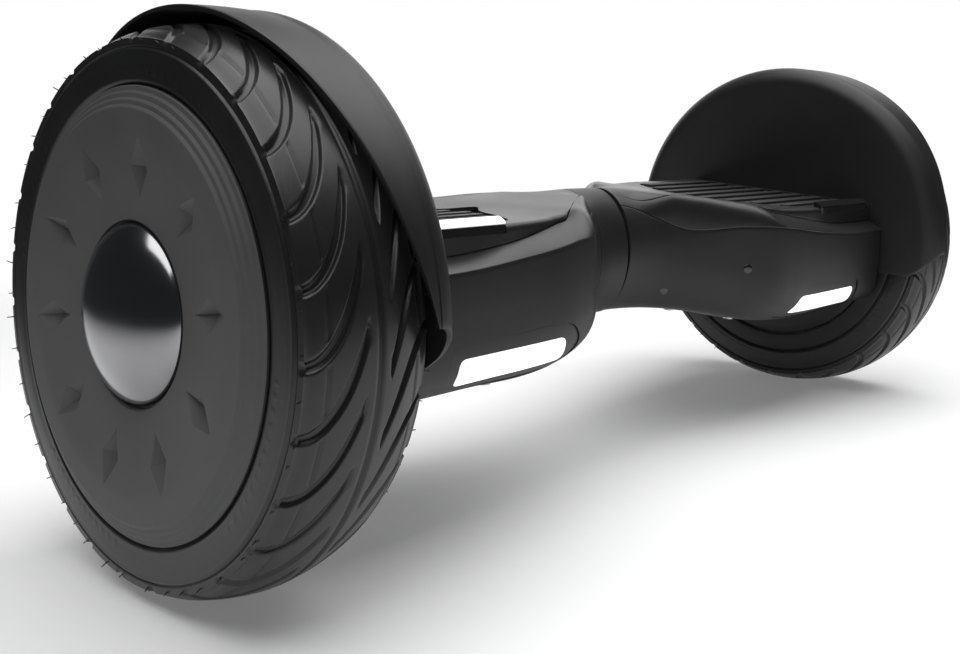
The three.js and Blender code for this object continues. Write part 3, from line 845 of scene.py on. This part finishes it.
def tyre_profile():
    """(radius, x) from the outer bead over the tread to the inner bead, closest at the fine details."""
    half = np.array([(99.2, 30.2), (101, 31.0), (104, 31.35), (110, TYRE_HALF), (113.4, 31.2),
                     (116.5, 30.2), (119.3, 28.3), (121.8, 24.6), (124.2, 18), (126.1, 9), (TYRE_R, 0)])
    run = np.concatenate([[0], np.cumsum(np.linalg.norm(np.diff(half, axis=0), axis=1))])
    radius, x = smooth_path(half, run)(np.linspace(0, run[-1], 1500)).T
    side = [(r, np.interp(r, radius, x)) for r in SIDE_RADII]
    tread = [(np.interp(-across, -x[600:], radius[600:]), across) for across in TREAD_ACROSS]
    outer = np.array(side + tread)
    inner = outer[:-1][::-1] * (1, -1)
    return np.concatenate([outer, inner])


def smooth_path(points, t):
    """A smooth path through points at parameters t."""
    slope = np.gradient(points, t, axis=0)

    def evaluate(at):
        i = np.clip(np.searchsorted(t, at, side="right") - 1, 0, len(t) - 2)
        step = (t[i + 1] - t[i])[:, None]
        u = ((at - t[i]) / (t[i + 1] - t[i]))[:, None]
        return (points[i] * (2 * u ** 3 - 3 * u ** 2 + 1) + points[i + 1] * (3 * u ** 2 - 2 * u ** 3)
                + slope[i] * step * (u ** 3 - 2 * u ** 2 + u) + slope[i + 1] * step * (u ** 3 - u ** 2))
    return evaluate


def groove(distance, width, depth, wall=0.5):
    """Depth of a groove with sloping walls at a distance from its middle."""
    return depth * (1 - smoothstep(width / 2 - wall, width / 2 + wall, np.abs(distance)))


def groove_reach(x):
    """0 where a curved groove opens at the shoulder and 1 at its blunt inner end."""
    return np.clip((TREAD_EDGE - np.abs(x)) / (TREAD_EDGE - GROOVE_END), 0, 1)


def groove_turn(x):
    """How far the curved grooves are swept round the tyre at x, against each other on the two sides."""
    reach = groove_reach(x)
    return np.sign(x) * GROOVE_SWEEP * (1 - 0.15 * reach - 0.85 * reach ** 2)


def tread_relief(x, column):
    """How deep the tread is cut at x across, for a column angle that follows the curved grooves."""
    reach = groove_reach(x)
    pitch = 2 * math.pi / PITCHES
    phase = ((column - FIRST_GROOVE) / pitch + np.where(x > 0, 0, 0.5) + 0.5) % 1 - 0.5
    steepness = TYRE_R * GROOVE_SWEEP * (0.15 + 1.7 * reach) / (TREAD_EDGE - GROOVE_END)
    distance = phase * pitch * TYRE_R / np.sqrt(1 + steepness ** 2)
    width = 3.6 - 1.4 * smoothstep(0.7, 1, reach)
    inside = smoothstep(GROOVE_END - 0.9, GROOVE_END + 0.5, np.abs(x)) * (
        1 - smoothstep(TREAD_EDGE - 0.2, TREAD_EDGE + 1.0, np.abs(x)))
    main = groove(distance, width, 2.1, 0.7) * inside
    middle = groove(x, 2.2, 2.0)
    sipe = groove(np.abs(x) - SIPE, 0.7, 0.8, 0.3) * smoothstep(0.14, 0.2, np.abs(phase))
    return np.maximum(np.maximum(main, middle), sipe)


def sidewall_relief(radius, angle):
    """Ridges and a groove under the shoulder and short plain bars on the sidewall: positive is inwards."""
    ribs = 0.0
    for at, height, reach in ((101.2, 0.4, 0.6), (113.4, 0.35, 0.5), (115.0, -0.7, 0.5), (116.2, 0.35, 0.5)):
        ribs = ribs - height * np.exp(-((radius - at) / reach) ** 2)
    turn = (angle / (2 * math.pi)) % 1
    in_arc = smoothstep(0.02, 0.022, turn % 0.25) * (1 - smoothstep(0.13, 0.132, turn % 0.25))
    bars = smoothstep(0.2, 0.5, np.sin(angle * 110))
    zone = smoothstep(103.8, 104.4, radius) * (1 - smoothstep(109.5, 110.1, radius))
    return ribs - 0.6 * in_arc * bars * zone


def tyre(side):
    outline = tyre_profile()
    columns = PITCHES * COLUMNS_PER_PITCH
    column = FIRST_GROOVE + np.arange(columns) * 2 * math.pi / columns
    radius, x = outline[:, 0][:, None], outline[:, 1][:, None]
    tangent = np.gradient(outline, axis=0)
    normal = np.stack([tangent[:, 1], -tangent[:, 0]], 1)
    normal /= np.linalg.norm(normal, axis=1, keepdims=True)
    if normal[len(normal) // 2, 0] < 0:
        normal = -normal
    angle = column[None, :] + groove_turn(x)
    tread = tread_relief(x, column[None, :])
    side_marks = sidewall_relief(radius, angle)
    blend = smoothstep(116.3, 116.8, radius)
    depth = tread * blend + side_marks * (1 - blend)
    r = np.minimum(radius - depth * normal[:, 0][:, None], TYRE_R)
    across = np.clip(x - depth * normal[:, 1][:, None], -TYRE_HALF, TYRE_HALF)
    outer = np.stack([across, r * np.cos(angle), r * np.sin(angle)], 2)
    inner_radius, inner_x = np.array(TYRE_INSIDE, float).T[:, :, None]
    turn = column[None, :] + np.sign(inner_x) * GROOVE_SWEEP
    inner = np.stack([inner_x + 0 * turn, inner_radius * np.cos(turn), inner_radius * np.sin(turn)], 2)
    grid = np.concatenate([outer, inner])
    shape = (grid.reshape(-1, 3), loop_faces(len(grid), columns))
    wheel_piece("treaded_tyre", shape, side, "tyre_rubber", f"{side}_tyre", sharp=70)


def vent_hairs(side):
    """Thin rubber whiskers left by the mould along both shoulders."""
    points, faces = [], []
    for x_sign in (-1, 1):
        for i in range(46):
            turn = (i + random.uniform(-0.25, 0.25)) / 46 * 2 * math.pi
            length = random.uniform(3.0, 5.5)
            root = np.array([x_sign * 29.6, 116.8])
            lean = np.array([x_sign * 0.86, 0.5])
            bend = random.uniform(-0.25, 0.25)
            start = len(points)
            for k in range(4):
                share = k / 3
                x, r = root + lean * (length * share - 0.8)
                a = turn + bend * share * share * length / r
                spot = np.array([x, r * math.cos(a), r * math.sin(a)])
                thick = 0.42 * (1 - 0.5 * share)
                around = np.array([-0.5 * x_sign, 0.86 * math.cos(a), 0.86 * math.sin(a)])
                beside = np.array([0, -math.sin(a), math.cos(a)])
                for q in range(5):
                    w = q / 5 * 2 * math.pi
                    points.append(spot + thick * (around * math.cos(w) + beside * math.sin(w)))
            for k in range(3):
                for q in range(5):
                    a, b = start + k * 5 + q, start + k * 5 + (q + 1) % 5
                    faces.append([a, b, b + 5, a + 5])
            faces.append([start + q for q in range(4, -1, -1)])
            faces.append([start + 15 + q for q in range(5)])
    wheel_piece("vent_hairs", (points, faces), side, "tyre_rubber")


PITS = 10
PIT_SECTOR = 2 * math.pi / PITS
PIT_TURN = math.radians(174)
PIT_RADIUS = 65.0
PIT_LENGTH = 13.2
PIT_HALF_ANGLE = math.radians(6)


def pit_offset(angle):
    """The angle from the middle of the nearest pit."""
    return (((angle - PIT_TURN) / PIT_SECTOR + 0.5) % 1 - 0.5) * PIT_SECTOR


def diamond_relief(radius, angle, x):
    """Ten four-sided pits in the face of the hub cover."""
    pit = 1 - np.abs(pit_offset(angle)) / PIT_HALF_ANGLE - np.abs(radius - PIT_RADIUS) / PIT_LENGTH
    return np.where(x > 31.9, 5.2 * np.clip(pit, 0, 1), 0)


def hub_cover(side):
    face = [(40.8, 31.1), (41.5, 31.6), (44, 31.9), (47, 32.2)]
    face += [(radius, 32.5 + 3.8 * ((radius - 50) / 28) ** 1.15)
             for radius in PIT_RADIUS + PIT_LENGTH * np.linspace(-1, 1, 9)]
    face += [(80, 36.4), (84, 36.5), (88.4, 36.6), (89.2, 36.4), (90.5, 35.3), (92.2, 35.0), (93.4, 33.9),
             (95.2, 33.5), (96.4, 32.4), (98.1, 32.0), (98.6, 31.5), (85, 31.5), (84, 29.2), (50, 28.2),
             (40.8, 28.2)]
    points, faces = turned(face, 240, diamond_relief)
    faces = split_for_pits(points, faces)
    wheel_piece("hub_plate", (points, faces), side, "cover_grey", f"{side}_hub_cover", sharp=14)


def split_for_pits(points, faces):
    """Splits the bent four-sided faces along the diagonal that follows the pits' edges."""
    result = []
    for face in faces:
        a, b, c, d = (points[k] for k in face)
        normal = np.cross(b - a, d - a)
        if abs(np.dot(c - a, normal)) < 1e-4 * np.dot(normal, normal) ** 0.5:
            result.append(list(face))
            continue
        middle = (a + b + c + d) / 4
        radius = math.hypot(middle[1], middle[2])
        rising = pit_offset(math.atan2(middle[2], middle[1])) * (radius - PIT_RADIUS) < 0
        if rising:
            result += [[face[0], face[1], face[2]], [face[0], face[2], face[3]]]
        else:
            result += [[face[0], face[1], face[3]], [face[1], face[2], face[3]]]
    return result


def hub_cap(side):
    arc = [(39.4 * math.cos(a), 30.4 + 14.6 * math.sin(a) ** 1.3)
           for a in np.linspace(0.02, math.pi / 2, 30)]
    dome = [(38.6, 28.6), (39.3, 29.2)] + arc + [(0, 43), (20, 40), (34, 33), (34, 28.6)]
    wheel_piece("hub_dome", turned(dome, 160), side, "dark_chrome", f"{side}_hub_cap")
    seat = rounded([(40.6, 29.9), (40.6, 26.5), (38.2, 26.5), (38.2, 28.2), (39.9, 28.2), (39.9, 29.9)],
                   0.3, 2)
    wheel_piece("cap_seat", turned(seat, 120), side, "pad_rubber")


def rim(side):
    outline = rounded([(98.7, 31.3), (98.7, 27.9), (92, 27.7), (92, -27.7), (98.7, -27.9), (98.7, -31.3),
                       (86, -31.3), (86, 31.3)], 0.8, 3)
    wheel_piece("wheel_rim", turned(outline, 180), side, "cast_aluminium", f"{side}_rim",
                material="satin_black")
    cover = rounded([(84.8, -30), (84.8, -26), (24, -26), (18, -31), (18, -34), (36, -33.4), (80, -31)],
                    1.2, 3)
    wheel_piece("inner_plate", turned(cover, 120), side, "cast_aluminium", f"{side}_motor_cover",
                material="satin_black")


# ---------- small parts ----------
PLUG_RADIUS = 3.0
# The plug's outline, as (share of its radius, lift off the wall).
PLUG_RINGS = [(0.0, -1.5), (0.4, -1.5), (1.0, -1.5), (1.0, 0.1), (0.9, 0.35), (0.6, 0.5), (0.25, 0.55),
              (0.0, 0.56)]


def dome_plug(name, s, z, sign, side):
    """A small round plug pressed into the front or rear wall."""
    depth = float(depth_at(np.array(s), np.array(z)))
    slope = float(depth_at(np.array(s + 1.0), np.array(z))) - depth
    outward = np.array([-slope, sign, 0.0])
    outward /= np.linalg.norm(outward)
    beside = np.cross(outward, (0, 0, 1))
    centre = np.array([s, sign * depth, z])
    upward = np.array([0, 0, 1])
    points = []
    count = 24
    for share, lift in PLUG_RINGS:
        for k in range(count):
            a = k / count * 2 * math.pi
            reach = beside * math.cos(a) + upward * math.sin(a)
            points.append(centre + outward * lift + PLUG_RADIUS * share * reach)
    shape = (points, quads(len(PLUG_RINGS), count, wrap=True))
    piece(name, on_half(shape, side), f"{side}_half", "satin_black", material="gloss_black")


SCREW_SPOTS = [(70, 22), (70, -22), (110, 46), (110, -46), (165, 62), (165, -62), (225, 62), (225, -62)]
# A countersunk screw's outline with its socket, as (radius, lift off the underside).
SCREW_RINGS = [(0.01, -0.5), (1.6, -0.5), (1.6, -0.1), (3.4, -0.3), (3.6, 1.5), (0.01, 1.5)]


def underside_screws(side):
    """Countersunk screws that hold the lower shell."""
    points, faces = [], []
    count = 12
    for s, y in SCREW_SPOTS:
        across = (abs(y) / half_depth(s)) ** squareness(s)
        z = middle_z(s) - half_height(s) * (1 - across) ** (1 / squareness(s))
        faces += quads(len(SCREW_RINGS), count, len(points), wrap=True).tolist()
        for radius, lift in SCREW_RINGS:
            for k in range(count):
                a = k / count * 2 * math.pi
                points.append((s + radius * math.cos(a), y + radius * math.sin(a), z + lift))
    half_piece("underside_screws", (points, faces), side, "steel")


def finish_cad_nodes():
    """Gives every CAD node the finish of its slot."""
    for entry in frame["record"]["subparts"]:
        node = frame["nodes"][entry["node"]]
        node.data.materials.clear()
        node.data.materials.append(M[entry["material_slot"]])


# ---------- build ----------
bpy.context.scene.view_settings.view_transform = "Standard"
add_camera()
add_studio()
add_backdrop()
add_floor(floor_material())
finish_cad_nodes()
for side in HANDS:
    lower_shell(side)
    band(side)
    deck(side)
    lamps(side)
    light_strip(side)
    fender(side)
    foot_pad(side)
    tyre(side)
    vent_hairs(side)
    hub_cover(side)
    hub_cap(side)
    rim(side)
    underside_screws(side)
waist()
dome_plug("upper_screw_plug", 85, 123, -1, "right")
dome_plug("lower_screw_plug", 43, 106, -1, "right")
